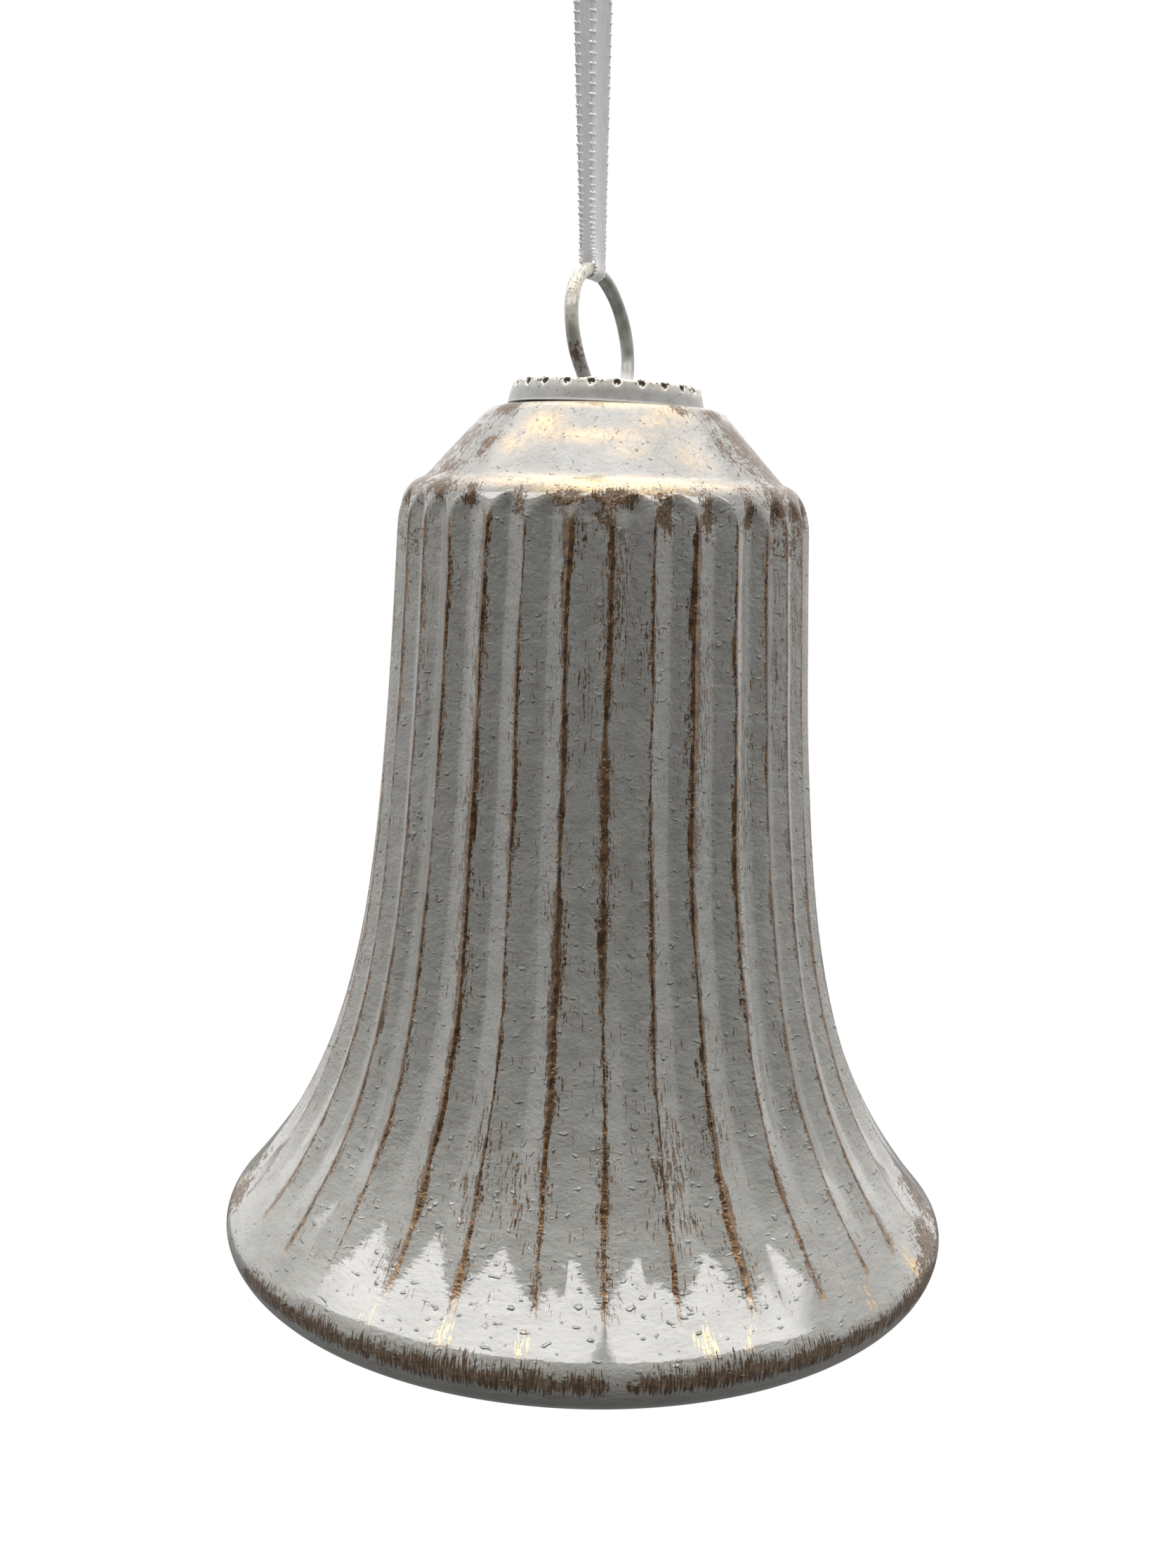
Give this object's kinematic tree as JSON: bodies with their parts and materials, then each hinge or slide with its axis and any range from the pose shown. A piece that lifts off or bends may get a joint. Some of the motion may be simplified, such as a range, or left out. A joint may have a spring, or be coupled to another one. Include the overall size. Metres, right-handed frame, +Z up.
{
  "type": "christmas bell ornament",
  "caption": "Fluted glass bell ornament with a notched metal cap, a spring wire hanging loop and a thin ribbon loop to hang it by.",
  "frame": {"origin": "the hang point, where a hook bears on the ribbon loop just under its knot", "axes": "+Z up, parallel to the bell's own axis; X along the two slots of the cap, so that the wire loop's plane holds X"},
  "size_m": [0.102, 0.1019, 0.2175],
  "materials": {
    "painted_glass": "gloss white brushed paint over a gold-brown mirror coat, rubbed through on the ridges",
    "painted_cap": "satin grey-white paint, brown in the notches",
    "painted_wire": "satin grey-white paint, worn to cream and brown",
    "ribbon": "pale grey woven satin with a stitched edge"
  },
  "bodies": {
    "ribbon": {"ribbon_front": "ribbon", "ribbon_back": "ribbon", "ribbon_knot": "ribbon", "ribbon_tail_left": "ribbon", "ribbon_tail_right": "ribbon"},
    "loop": {"wire_loop": "painted_wire"},
    "cap": {"cap": "painted_cap"},
    "bell": {"glass_bell": "painted_glass"}
  },
  "joints": [
    {"name": "loop_swing", "type": "hinge", "parent": "ribbon", "child": "loop", "pos_m": [0, -0.00199, -0.065], "axis": [1, 0, 0], "range_deg": [-110, 110]},
    {"name": "loop_rock", "type": "hinge", "parent": "loop", "child": "cap", "pos_m": [0, -0.00456, -0.08039], "axis": [1, 0, 0], "range_deg": [-21.5, 2.5]},
    {"name": "cap_pull", "type": "slide", "parent": "cap", "child": "bell", "axis": [0, 0, -1], "range_m": [0, 0.025]}
  ]
}
